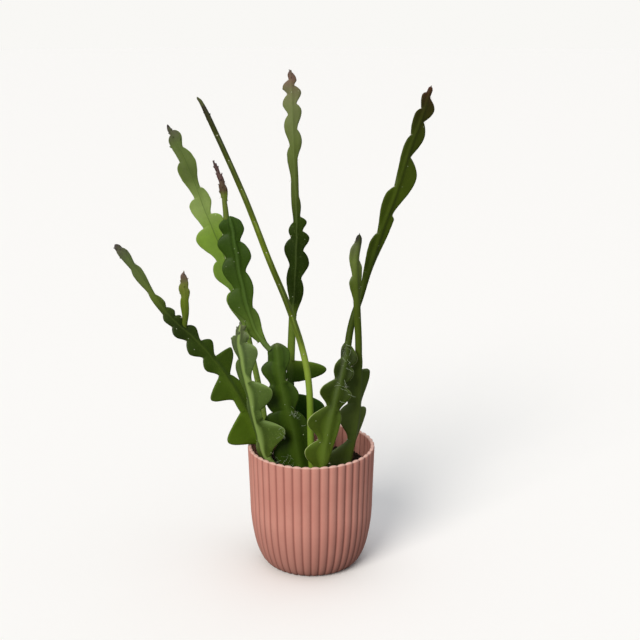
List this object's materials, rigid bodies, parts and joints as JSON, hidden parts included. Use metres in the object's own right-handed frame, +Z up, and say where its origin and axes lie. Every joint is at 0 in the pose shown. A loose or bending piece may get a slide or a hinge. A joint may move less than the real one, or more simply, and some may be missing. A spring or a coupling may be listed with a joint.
{
  "type": "potted ric rac cactus",
  "caption": "Fishbone cactus with long lobed, flattened stems, rooted in soil in a small fluted plastic pot that stands on its flat foot.",
  "frame": {"origin": "centre of the pot's flat foot, on the surface it stands on", "axes": "+Z up, +Y away from the side that the picture shows, +X to that side's right"},
  "size_m": [0.1725, 0.072, 0.2761],
  "materials": {
    "pot": "matt dusty pink, fluted",
    "soil": "dark crumbly potting soil",
    "stem": "smooth living plant skin, slightly waxy, in several greens"
  },
  "bodies": {
    "root": {"pot": "pot", "soil": "soil", "stem_far_left": "stem", "stem_pale_back": "stem", "stem_front_left": "stem", "stem_centre": "stem", "stem_slim": "stem", "stem_tall_back": "stem", "stem_right_upright": "stem", "stem_right_arching": "stem"}
  },
  "joints": []
}
